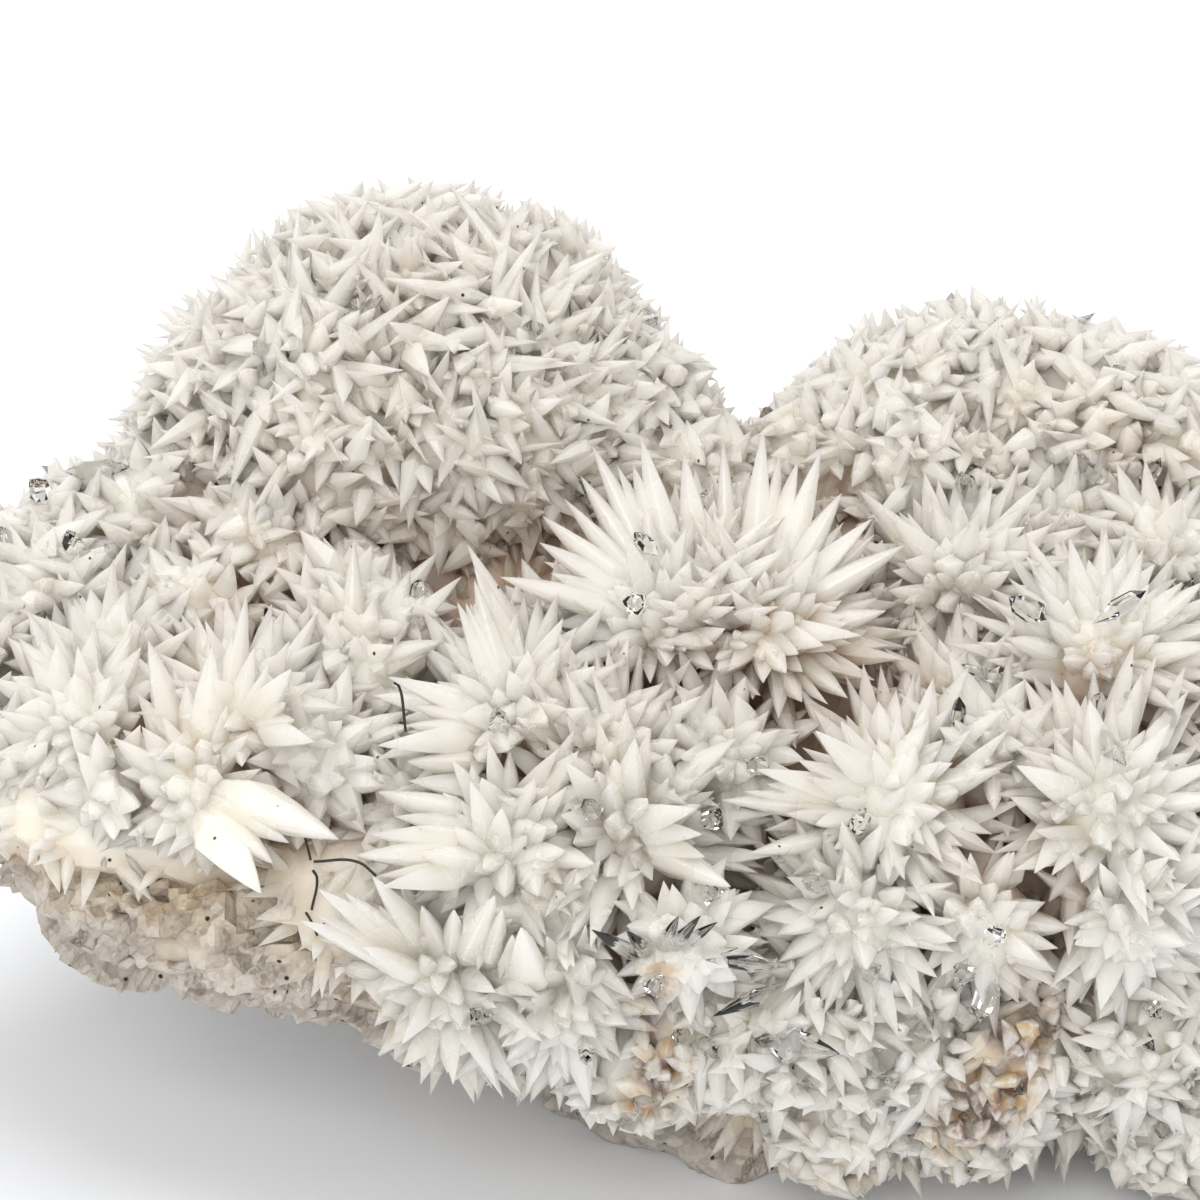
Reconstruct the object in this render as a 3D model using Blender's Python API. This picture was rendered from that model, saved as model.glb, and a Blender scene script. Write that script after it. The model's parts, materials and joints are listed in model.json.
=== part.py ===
# Calcite specimen: radiating sprays of dogtooth crystals, grown together over a rough matrix.
# Units are metres with +Z up, and the tables below are in millimetres. The front faces -Y.
# The origin is the middle of the flat spot under the matrix, which the specimen rests on.

import math
import random

import bmesh
import bpy
from mathutils import Vector, noise

MM = 0.001
TINY = 1e-30
SEED = 29

# The sprays, one row each: x, y, z of the nucleus and the reach of its crystal tips.
# The groups follow the specimen from its left end to its right end, then round the back.
SPRAYS = {
    "left_end": (
        (-112, -4, 54, 13), (-104, -16, 56, 12), (-105, 10, 56, 15), (-98, 24, 54, 14),
        (-118, 8, 50, 10), (-101, -3, 56, 14),
    ),
    "left_front": (
        (-68, -19, 58, 16), (-86, -9, 59, 15), (-87, -20, 57, 14), (-73, -28, 53, 13),
        (-60, -26, 56, 12), (-84, -28, 53, 10), (-97, -24, 53, 10),
    ),
    "left_shoulder": (
        (-80, 20, 68, 16), (-67, 11, 68, 15), (-76, 0, 61, 14), (-92, 6, 61, 15),
        (-55, -3, 62, 14), (-55, -12, 60, 12), (-93, 20, 63, 14),
    ),
    "back_left_dome": (
        (-58, 29, 80, 23), (-42, 31, 80, 23), (-30, 31, 79, 18), (-69, 29, 77, 18),
        (-44, 19, 77, 16), (-58, 17, 77, 15), (-32, 22, 76, 15), (-22, 27, 75, 15),
        (-15, 22, 71, 12), (-52, 39, 87, 20), (-37, 40, 86, 18),
    ),
    "middle_flower": (
        (-17, -10, 66, 17), (-5, -10, 65, 18), (-12, 1, 68, 15), (-30, -6, 62, 12),
    ),
    "centre_front": (
        (-35, -20, 58, 17), (-22, -31, 50, 18), (-25, -26, 57, 15), (-36, -35, 49, 15),
        (-43, -37, 35, 17), (-29, -40, 33, 15), (-15, -45, 43, 10), (-30, -40, 43, 13),
        (-10, -25, 56, 13), (-48, -27, 50, 12), (-54, -34, 40, 11),
    ),
    "right_middle": (
        (20, 5, 65, 16), (46, 9, 67, 14), (34, 14, 69, 13), (36, -11, 62, 17),
        (19, -14, 57, 13), (7, 4, 61, 13), (54, -8, 58, 14),
    ),
    "back_right_dome": (
        (13, 28, 75, 16), (23, 33, 78, 16), (37, 31, 76, 16), (49, 27, 73, 15),
        (15, 20, 72, 13), (3, 26, 71, 12), (60, 22, 64, 14), (32, 22, 72, 13),
    ),
    "right_front": (
        (10, -29, 52, 17), (35, -30, 52, 17), (23, -24, 56, 14), (6, -38, 42, 14),
        (20, -39, 42, 12), (10, -39, 27, 13), (37, -36, 41, 14), (38, -35, 25, 13),
        (-3, -39, 29, 13), (-13, -41, 30, 11), (24, -38, 26, 11), (53, -26, 40, 14),
        (4, -38, 15, 11), (50, -30, 24, 13), (-20, -40, 24, 10), (20, -38, 17, 11),
        (58, -30, 14, 11), (45, -34, 13, 12),
    ),
    "right_end": (
        (69, -8, 48, 17), (66, -20, 38, 15), (70, 8, 46, 16), (71, 0, 34, 16),
        (64, -20, 22, 13), (69, 16, 32, 14), (68, 2, 20, 13), (58, 4, 60, 14),
        (66, 22, 53, 15),
    ),
    "back_upper": (
        (-62, 42, 68, 17), (-40, 46, 68, 19), (-18, 38, 62, 16), (10, 40, 62, 17),
        (34, 41, 60, 17), (55, 34, 54, 16), (-82, 34, 56, 15), (-6, 34, 64, 13),
    ),
    "back_lower": (
        (-72, 42, 44, 14), (-50, 48, 48, 16), (-26, 46, 44, 16), (0, 46, 44, 16),
        (28, 46, 40, 16), (50, 40, 34, 15), (64, 28, 34, 13), (-88, 36, 42, 12),
        (-38, 46, 30, 13), (-12, 48, 26, 14), (14, 47, 24, 14), (38, 42, 20, 13),
        (-58, 42, 32, 12),
    ),
}

# Crystals that stand out of the sprays: root x, y, z, tip x, y, z and full width.
BIG_CRYSTALS = (
    # Left front, with the two largest of all.
    (-75, -34, 62, -55, -48, 58, 8.5), (-75, -36, 57, -64, -50, 52, 9.5),
    (-71, -30, 59, -71, -26, 72, 7.0), (-68, -30, 59, -67, -22, 77, 6.0),
    (-67, -30, 61, -61, -34, 73, 6.0), (-66, -30, 64, -58, -41, 67, 6.0),
    (-77, -28, 59, -79, -22, 71, 6.5), (-91, -18, 59, -95, -10, 69, 6.0),
    # The star between the left front and the middle.
    (-56, -14, 64, -55, -8, 78, 5.0), (-57, -14, 65, -44, -18, 69, 5.5),
    (-54, -12, 66, -66, -10, 70, 5.0), (-53, -10, 63, -42, -6, 72, 5.0),
    # Centre front, pointing left.
    (-37, -28, 64, -42, -22, 76, 5.0), (-36, -27, 65, -40, -20, 78, 5.0),
    (-30, -16, 70, -41, -14, 80, 5.0), (-36, -30, 64, -50, -30, 70, 5.5),
    (-38, -32, 62, -51, -38, 65, 6.0), (-38, -34, 58, -51, -40, 60, 6.0),
    (-38, -40, 51, -53, -50, 57, 6.0), (-38, -42, 49, -50, -52, 54, 6.0),
    (-38, -40, 48, -40, -43, 63, 5.5), (-37, -40, 49, -29, -47, 56, 6.0),
    # Front foot of the cluster, the long ones.
    (-46, -44, 35, -59, -58, 53, 5.5), (-45, -44, 36, -57, -56, 56, 5.5),
    (-44, -44, 36, -51, -53, 56, 6.0), (-41, -46, 37, -37, -54, 54, 6.5),
    (-36, -46, 32, -34, -56, 51, 7.5), (-46, -46, 34, -52, -57, 49, 5.0),
    # Centre, pointing right and up.
    (-20, -40, 52, -10, -52, 54, 6.5), (-23, -38, 55, -14, -48, 62, 6.0),
    (-24, -36, 54, -29, -42, 65, 6.0), (-21, -36, 56, -21, -42, 68, 6.0),
    # Petals of the middle flower.
    (-8, -14, 70, -3, -29, 70, 5.5), (-6, -14, 70, 6, -25, 73, 5.0),
    (-20, -12, 70, -37, -17, 77, 6.0), (-18, -10, 72, -32, -8, 81, 6.0),
    (-16, -8, 74, -26, 0, 87, 5.5), (-12, -8, 74, -20, 0, 88, 6.0),
    (-8, -8, 74, -5, 0, 89, 6.0), (-4, -8, 73, 2, -2, 87, 6.0), (-4, -10, 71, 12, -10, 78, 6.0),
    # Right middle and right front.
    (8, -32, 54, -7, -42, 64, 5.5), (8, -33, 53, -11, -44, 61, 5.5),
    (10, -32, 56, 0, -38, 67, 6.0), (6, -36, 50, -8, -46, 55, 5.0),
    (34, -34, 56, 23, -43, 65, 6.0), (35, -32, 58, 32, -36, 70, 6.5),
    (18, 2, 70, 7, 0, 81, 5.5), (36, -12, 64, 32, -10, 79, 6.0), (38, -12, 64, 48, -14, 75, 6.0),
    # The two domes at the back.
    (-67, 24, 83, -81, 26, 89, 5.5), (-50, 24, 92, -57, 6, 101, 6.0),
    (-42, 16, 82, -37, 0, 79, 5.0), (14, 26, 80, 5, 24, 92, 6.0),
)

# The zigzag girdle of a crystal: shares of its half width and of its length, in turn.
GIRDLE_RADII = (0.84, 1.0)
GIRDLE_HEIGHTS = (0.34, 0.45)

TIP_SPACING = 11.0          # between neighbouring crystal tips
LEAST_TIPS = 12             # of the smallest spray, all round
TIP_SPREAD = (0.92, 1.06)   # shortest and longest crystal, as a share of the spray's reach
VALLEY_SHARE = 0.62         # depth of the notches between crystals, from the nucleus
SWALLOWED_SHARE = 0.90      # a tip nearer than this share of another spray's reach is grown over
DIRECTION_SPREAD = 0.09     # how far crystals stray from even spacing
NOTCH_SPREAD = (0.92, 1.08) # shallowest and deepest notch, as a share of the valley depth
BURIED_DIRECTIONS = 14      # corners of a spray's buried side
LEAST_COVER = 1.0           # crystal tips reach at least this far out of the matrix
BURIED_ANGLE = 0.75         # least angle in radians between those and any crystal

# Lumps of the matrix: centre x, y, z and half sizes x, y, z.
MATRIX_LUMPS = (
    (0, 0, 9, 42, 29, 12.5),
    (14, -16, 17, 30, 20, 14),
    (42, -6, 22, 27, 26, 18),
    (0, 4, 34, 62, 34, 24),
    (-66, -13, 36, 30, 29, 13),
    (-88, -7, 47, 22, 25, 11),
    (-42, -18, 34, 24, 22, 15),
    (-45, 28, 54, 26, 18, 22),
    (30, 16, 44, 40, 26, 26),
    (-10, 24, 34, 66, 22, 24),
)
MATRIX_BLEND = 5.0          # how far the lumps flow into each other
MATRIX_MIDDLE = (-20, 4, 40)
LUMP_SIZE = 16.0
LUMP_HEIGHT = 5.0
PIT_SIZE = 6.0
PIT_DEPTH = 2.6
LEDGE_SPACING = 16.0
LEDGE_DEPTH = 1.6
LEDGE_WAVE_LENGTH = 25.0
LEDGE_WAVINESS = 2.0
MATRIX_DETAIL = 5           # times that the matrix's triangles are divided before thinning
CRUST_DETAIL = 4
MATRIX_REACH = 140.0        # farther from the middle than any of its surface
SURFACE_ACCURACY = 0.05
MATRIX_FACES = 1600
CRUST_EDGE = (
    (-120, 52), (-103, 51), (-91, 47), (-80, 45), (-65, 40), (-57, 31), (-46, 24), (-30, 16),
    (0, 9), (30, 8), (50, 4), (90, 4),
)
CALCITE_FACES = 7000        # before the room for the matrix is cut out
CRUST_THICKNESS = 8.0       # of the intergrown calcite between the sprays, over the matrix
CRUST_LUMP_SIZE = 12.0
CRUST_LUMP_HEIGHT = 5.0
CRUST_FADE = 1.6            # past its edge the crust dips this share of its thickness under
CRUST_EDGE_BLEND = 4.0      # height over which the crust runs out
CONTACT_GAP = 0.45          # between the matrix and the calcite that covers it
GROUND_SIZE = 400.0         # of the block under the origin that cuts the resting spot flat

MATRIX_COLOUR = (0.62, 0.53, 0.42)
MATRIX_ROUGHNESS = 0.85
CALCITE_COLOUR = (0.86, 0.83, 0.79)
CALCITE_ROUGHNESS = 0.35


def clear_scene():
    for obj in list(bpy.data.objects):
        bpy.data.objects.remove(obj, do_unlink=True)


def stone(name, colour, roughness):
    material = bpy.data.materials.new(name)
    material.use_nodes = True
    shader = material.node_tree.nodes["Principled BSDF"]
    shader.inputs["Base Color"].default_value = (*colour, 1.0)
    shader.inputs["Roughness"].default_value = roughness
    shader.inputs["Metallic"].default_value = 0.0
    return material


def new_object(name, bm, collection):
    bmesh.ops.recalc_face_normals(bm, faces=bm.faces)
    mesh = bpy.data.meshes.new(name)
    bm.to_mesh(mesh)
    bm.free()
    obj = bpy.data.objects.new(name, mesh)
    collection.objects.link(obj)
    return obj


def all_sprays():
    return [spray for group in SPRAYS.values() for spray in group]


def even_directions(count, turn):
    """Directions spread evenly over a sphere, turned about Z by the given angle."""
    golden = math.pi * (3.0 - math.sqrt(5.0))
    for i in range(count):
        z = 1.0 - 2.0 * (i + 0.5) / count
        ring = math.sqrt(1.0 - z * z)
        angle = turn + golden * i
        yield Vector((ring * math.cos(angle), ring * math.sin(angle), z))


def lump_depth(point):
    """Signed distance in mm from the blended lumps of the matrix, negative inside."""
    total = 0.0
    for x, y, z, a, b, c in MATRIX_LUMPS:
        p = Vector(((point.x - x) / a, (point.y - y) / b, (point.z - z) / c))
        q = Vector((p.x / a, p.y / b, p.z / c))
        distance = p.length * (p.length - 1.0) / max(q.length, TINY)
        total += math.exp(-distance / MATRIX_BLEND)
    return -MATRIX_BLEND * math.log(max(total, TINY))


def surface_along(direction):
    """How far the lumps' surface lies from the middle of the matrix in one direction."""
    middle = Vector(MATRIX_MIDDLE)
    near, far = 0.0, MATRIX_REACH
    while far - near > SURFACE_ACCURACY:
        half = (near + far) / 2
        if lump_depth(middle + direction * half) < 0.0:
            near = half
        else:
            far = half
    return near


def crust_edge(x):
    """Height in mm at which the calcite ends and the bare matrix begins, along the specimen."""
    for (x1, z1), (x2, z2) in zip(CRUST_EDGE, CRUST_EDGE[1:]):
        if x <= x2:
            share = min(1.0, max(0.0, (x - x1) / (x2 - x1)))
            return z1 + (z2 - z1) * share
    return CRUST_EDGE[-1][1]


def grown_over(tip, own):
    """True where a tip would lie inside another spray or the matrix, or below the calcite's edge."""
    for spray in all_sprays():
        if spray is own:
            continue
        if (tip - Vector(spray[:3])).length < SWALLOWED_SHARE * spray[3]:
            return True
    return tip.z < crust_edge(tip.x) or lump_depth(tip) < LEAST_COVER


def free_tips(spray, rng):
    """The crystal tips of a spray, from its nucleus, that no other spray has grown over."""
    nucleus = Vector(spray[:3])
    reach = spray[3]
    count = max(LEAST_TIPS, round(4.0 * math.pi * reach ** 2 / TIP_SPACING ** 2))
    tips = []
    for direction in even_directions(count, rng.uniform(0.0, math.tau)):
        stray = Vector([rng.gauss(0.0, DIRECTION_SPREAD) for _ in range(3)])
        tip = (direction + stray).normalized() * reach * rng.uniform(*TIP_SPREAD)
        if not grown_over(nucleus + tip, spray):
            tips.append(tip)
    return tips


def add_spray(number, spray, collection, rng):
    """A ball of flat-faced pointed crystals: a tip in each free direction, notches between them."""
    nucleus = Vector(spray[:3])
    reach = spray[3]
    tips = free_tips(spray, rng)
    if not tips:
        return None
    hull = bmesh.new()
    for tip in tips:
        hull.verts.new(tip.normalized())
    for direction in even_directions(BURIED_DIRECTIONS, rng.uniform(0.0, math.tau)):
        if all(direction.angle(tip) > BURIED_ANGLE for tip in tips):
            hull.verts.new(direction)
            tips.append(direction * reach * VALLEY_SHARE)
    hull.verts.index_update()
    bmesh.ops.convex_hull(hull, input=hull.verts)
    hull.faces.index_update()
    bm = bmesh.new()
    points = [bm.verts.new((nucleus + tip) * MM) for tip in tips]
    notches = []
    for face in hull.faces:
        way = face.calc_center_median().normalized()
        depth = reach * VALLEY_SHARE * rng.uniform(*NOTCH_SPREAD)
        notches.append(bm.verts.new((nucleus + way * depth) * MM))
    for edge in hull.edges:
        one, two = (notches[face.index] for face in edge.link_faces)
        for vert in edge.verts:
            bm.faces.new((points[vert.index], one, two))
    hull.free()
    return new_object(f"spray_{number}", bm, collection)


def add_big_crystal(number, root, tip, width, collection, rng):
    """One free-standing dogtooth: a six-sided scalenohedron with a zigzag girdle."""
    axis = (tip - root).normalized()
    length = (tip - root).length
    side = axis.orthogonal().normalized()
    other = axis.cross(side)
    start = rng.uniform(0.0, math.tau)
    bm = bmesh.new()
    girdle = []
    for k in range(6):
        angle = start + k * math.tau / 6
        radius = width / 2 * GIRDLE_RADII[k % 2]
        height = length * GIRDLE_HEIGHTS[k % 2]
        around = side * math.cos(angle) + other * math.sin(angle)
        girdle.append(bm.verts.new((root + axis * height + around * radius) * MM))
    low = bm.verts.new(root * MM)
    top = bm.verts.new(tip * MM)
    for k in range(6):
        one, two = girdle[k], girdle[(k + 1) % 6]
        bm.faces.new((one, two, top))
        bm.faces.new((two, one, low))
    return new_object(f"big_crystal_{number}", bm, collection)


def exposed(point):
    """1 where the matrix is bare, on its underside and rim, and 0 where calcite covers it."""
    above = point.z - crust_edge(point.x)
    return min(1.0, max(0.0, 0.5 - above / CRUST_EDGE_BLEND))


def roughness_at(point):
    """Ledges, lumps and pits of the bare matrix, in mm."""
    lumps = noise.noise(point / LUMP_SIZE) * LUMP_HEIGHT
    grains = noise.noise(point / PIT_SIZE) * PIT_DEPTH
    waviness = LEDGE_WAVINESS * noise.noise(point / LEDGE_WAVE_LENGTH)
    ledge = LEDGE_DEPTH * math.sin(math.tau * point.z / LEDGE_SPACING + waviness)
    return lumps + grains + ledge


def add_lumpy_body(name, thickness, detail, collection):
    """A closed body around the matrix's middle, with thickness(point) added to its surface."""
    bm = bmesh.new()
    bmesh.ops.create_icosphere(bm, subdivisions=detail, radius=1.0)
    middle = Vector(MATRIX_MIDDLE)
    for vert in bm.verts:
        direction = vert.co.normalized()
        point = middle + direction * surface_along(direction)
        length = (point - middle).length + thickness(point)
        vert.co = (middle + direction * length) * MM
    return new_object(name, bm, collection)


def matrix_thickness(point):
    return exposed(point) * roughness_at(point)


def crust_thickness(point):
    lumps = noise.noise(point / CRUST_LUMP_SIZE) * CRUST_LUMP_HEIGHT
    return CRUST_THICKNESS * (1.0 - CRUST_FADE * exposed(point)) + lumps


def evaluated_copy(obj, name, collection):
    """The object with its modifiers applied, as a new mesh object."""
    bpy.context.view_layer.update()
    graph = bpy.context.evaluated_depsgraph_get()
    bm = bmesh.new()
    bm.from_object(obj, graph)
    return new_object(name, bm, collection)


def swollen_copy(obj, name, amount, collection):
    bm = bmesh.new()
    bm.from_mesh(obj.data)
    bm.normal_update()
    for vert in bm.verts:
        vert.co += vert.normal * amount * MM
    return new_object(name, bm, collection)


def keep_largest_island(obj):
    """Drops the crumbs that the cut left loose."""
    bm = bmesh.new()
    bm.from_mesh(obj.data)
    islands = []
    left = set(bm.verts)
    while left:
        island = set()
        queue = [left.pop()]
        while queue:
            vert = queue.pop()
            island.add(vert)
            for edge in vert.link_edges:
                other = edge.other_vert(vert)
                if other in left:
                    left.remove(other)
                    queue.append(other)
        islands.append(island)
    islands.sort(key=len)
    for island in islands[:-1]:
        bmesh.ops.delete(bm, geom=list(island), context='VERTS')
    bm.to_mesh(obj.data)
    bm.free()


def add_boolean(obj, name, operation, operand, solver):
    modifier = obj.modifiers.new(name, 'BOOLEAN')
    modifier.operation = operation
    modifier.solver = solver
    if isinstance(operand, bpy.types.Collection):
        modifier.operand_type = 'COLLECTION'
        modifier.collection = operand
    else:
        modifier.object = operand


def add_thinning(obj, faces):
    """Collapses the smallest edges until about this many triangles are left."""
    obj.data.calc_loop_triangles()
    thinner = obj.modifiers.new("fewer_faces", 'DECIMATE')
    thinner.ratio = min(1.0, faces / len(obj.data.loop_triangles))


def build_matrix(helpers, model):
    lumps = add_lumpy_body("matrix_lumps", matrix_thickness, MATRIX_DETAIL, helpers)
    add_thinning(lumps, MATRIX_FACES)
    body = evaluated_copy(lumps, "matrix_body", helpers)
    ground = bmesh.new()
    bmesh.ops.create_cube(ground, size=GROUND_SIZE * MM)
    bmesh.ops.translate(ground, vec=(0, 0, -GROUND_SIZE / 2 * MM), verts=ground.verts)
    block = new_object("ground_block", ground, helpers)
    add_boolean(body, "resting_spot", 'DIFFERENCE', block, 'EXACT')
    matrix = evaluated_copy(body, "matrix", model)
    matrix.data.materials.append(stone("matrix", MATRIX_COLOUR, MATRIX_ROUGHNESS))
    return matrix


def build_crystals(matrix, helpers, model):
    shapes = bpy.data.collections.new("calcite_shapes")
    helpers.children.link(shapes)
    for number, spray in enumerate(all_sprays()):
        add_spray(number, spray, shapes, random.Random(SEED + number))
    rng = random.Random(SEED)
    for number, row in enumerate(BIG_CRYSTALS):
        add_big_crystal(number, Vector(row[:3]), Vector(row[3:6]), row[6], shapes, rng)
    crust = add_lumpy_body("crust", crust_thickness, CRUST_DETAIL, helpers)
    host_room = swollen_copy(matrix, "host_room", CONTACT_GAP, helpers)
    add_boolean(crust, "grown_together", 'UNION', shapes, 'MANIFOLD')
    fused = evaluated_copy(crust, "fused", helpers)
    add_thinning(fused, CALCITE_FACES)
    add_boolean(fused, "room_for_matrix", 'DIFFERENCE', host_room, 'MANIFOLD')
    crystals = evaluated_copy(fused, "crystals", model)
    keep_largest_island(crystals)
    crystals.data.materials.append(stone("calcite", CALCITE_COLOUR, CALCITE_ROUGHNESS))
    return crystals


def main():
    clear_scene()
    model = bpy.context.scene.collection
    helpers = bpy.data.collections.new("helpers")
    model.children.link(helpers)
    matrix = build_matrix(helpers, model)
    build_crystals(matrix, helpers, model)
    for obj in list(helpers.all_objects):
        bpy.data.objects.remove(obj, do_unlink=True)
    bpy.data.collections.remove(helpers)


main()
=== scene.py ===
import json
import math
import random
from collections import namedtuple

import bmesh
import bpy
import numpy as np
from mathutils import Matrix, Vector, noise

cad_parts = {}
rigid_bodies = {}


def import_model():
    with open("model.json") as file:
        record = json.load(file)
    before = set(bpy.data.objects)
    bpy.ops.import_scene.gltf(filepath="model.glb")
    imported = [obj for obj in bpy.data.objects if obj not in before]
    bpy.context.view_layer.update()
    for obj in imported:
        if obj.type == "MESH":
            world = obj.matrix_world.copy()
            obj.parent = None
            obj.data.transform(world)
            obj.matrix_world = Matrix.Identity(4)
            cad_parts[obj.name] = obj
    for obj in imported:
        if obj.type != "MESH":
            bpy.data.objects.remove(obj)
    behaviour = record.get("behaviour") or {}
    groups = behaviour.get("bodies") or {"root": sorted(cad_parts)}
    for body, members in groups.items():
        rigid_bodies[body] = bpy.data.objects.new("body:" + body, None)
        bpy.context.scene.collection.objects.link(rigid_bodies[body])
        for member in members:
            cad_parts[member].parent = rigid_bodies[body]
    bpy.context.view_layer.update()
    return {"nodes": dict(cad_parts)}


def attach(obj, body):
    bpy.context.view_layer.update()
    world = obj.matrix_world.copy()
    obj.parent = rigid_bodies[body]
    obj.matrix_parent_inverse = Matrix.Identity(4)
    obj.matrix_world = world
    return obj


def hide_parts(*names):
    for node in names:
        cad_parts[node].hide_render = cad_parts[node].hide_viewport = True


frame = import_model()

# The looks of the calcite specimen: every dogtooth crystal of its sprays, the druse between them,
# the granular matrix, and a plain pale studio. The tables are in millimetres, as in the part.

MM = 0.001
TINY = 1e-30

# Where each kind of random draw starts. The first is the part's.
SEED = 29
FINE_SEED = SEED + 1000
BIG_SEED = SEED + 2000
DRUSE_SEED = SEED + 3000
CLEAR_SEED = SEED + 5000

# The sprays, one row each: x, y, z of the nucleus and the reach of its crystal tips.
# The groups follow the specimen from its left end to its right end, then round the back.
SPRAYS = {
    "left_end": (
        (-112, -4, 54, 13), (-104, -16, 56, 12), (-105, 10, 56, 15), (-98, 24, 54, 14),
        (-118, 8, 50, 10), (-101, -3, 56, 14),
    ),
    "left_front": (
        (-68, -19, 58, 16), (-86, -9, 59, 15), (-87, -20, 57, 14), (-73, -28, 53, 13),
        (-60, -26, 56, 12), (-84, -28, 53, 10), (-97, -24, 53, 10),
    ),
    "left_shoulder": (
        (-80, 20, 68, 16), (-67, 11, 68, 15), (-76, 0, 61, 14), (-92, 6, 61, 15),
        (-55, -3, 62, 14), (-55, -12, 60, 12), (-93, 20, 63, 14),
    ),
    "back_left_dome": (
        (-58, 29, 80, 23), (-42, 31, 80, 23), (-30, 31, 79, 18), (-69, 29, 77, 18),
        (-44, 19, 77, 16), (-58, 17, 77, 15), (-32, 22, 76, 15), (-22, 27, 75, 15),
        (-15, 22, 71, 12), (-52, 39, 87, 20), (-37, 40, 86, 18),
    ),
    "middle_flower": (
        (-17, -10, 66, 17), (-5, -10, 65, 18), (-12, 1, 68, 15), (-30, -6, 62, 12),
    ),
    "centre_front": (
        (-35, -20, 58, 17), (-22, -31, 50, 18), (-25, -26, 57, 15), (-36, -35, 49, 15),
        (-43, -37, 35, 17), (-29, -40, 33, 15), (-15, -45, 43, 10), (-30, -40, 43, 13),
        (-10, -25, 56, 13), (-48, -27, 50, 12), (-54, -34, 40, 11),
    ),
    "right_middle": (
        (20, 5, 65, 16), (46, 9, 67, 14), (34, 14, 69, 13), (36, -11, 62, 17),
        (19, -14, 57, 13), (7, 4, 61, 13), (54, -8, 58, 14),
    ),
    "back_right_dome": (
        (13, 28, 75, 16), (23, 33, 78, 16), (37, 31, 76, 16), (49, 27, 73, 15),
        (15, 20, 72, 13), (3, 26, 71, 12), (60, 22, 64, 14), (32, 22, 72, 13),
    ),
    "right_front": (
        (10, -29, 52, 17), (35, -30, 52, 17), (23, -24, 56, 14), (6, -38, 42, 14),
        (20, -39, 42, 12), (10, -39, 27, 13), (37, -36, 41, 14), (38, -35, 25, 13),
        (-3, -39, 29, 13), (-13, -41, 30, 11), (24, -38, 26, 11), (53, -26, 40, 14),
        (4, -38, 15, 11), (50, -30, 24, 13), (-20, -40, 24, 10), (20, -38, 17, 11),
        (58, -30, 14, 11), (45, -34, 13, 12),
    ),
    "right_end": (
        (69, -8, 48, 17), (66, -20, 38, 15), (70, 8, 46, 16), (71, 0, 34, 16),
        (64, -20, 22, 13), (69, 16, 32, 14), (68, 2, 20, 13), (58, 4, 60, 14),
        (66, 22, 53, 15),
    ),
    "back_upper": (
        (-62, 42, 68, 17), (-40, 46, 68, 19), (-18, 38, 62, 16), (10, 40, 62, 17),
        (34, 41, 60, 17), (55, 34, 54, 16), (-82, 34, 56, 15), (-6, 34, 64, 13),
    ),
    "back_lower": (
        (-72, 42, 44, 14), (-50, 48, 48, 16), (-26, 46, 44, 16), (0, 46, 44, 16),
        (28, 46, 40, 16), (50, 40, 34, 15), (64, 28, 34, 13), (-88, 36, 42, 12),
        (-38, 46, 30, 13), (-12, 48, 26, 14), (14, 47, 24, 14), (38, 42, 20, 13),
        (-58, 42, 32, 12),
    ),
}

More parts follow.
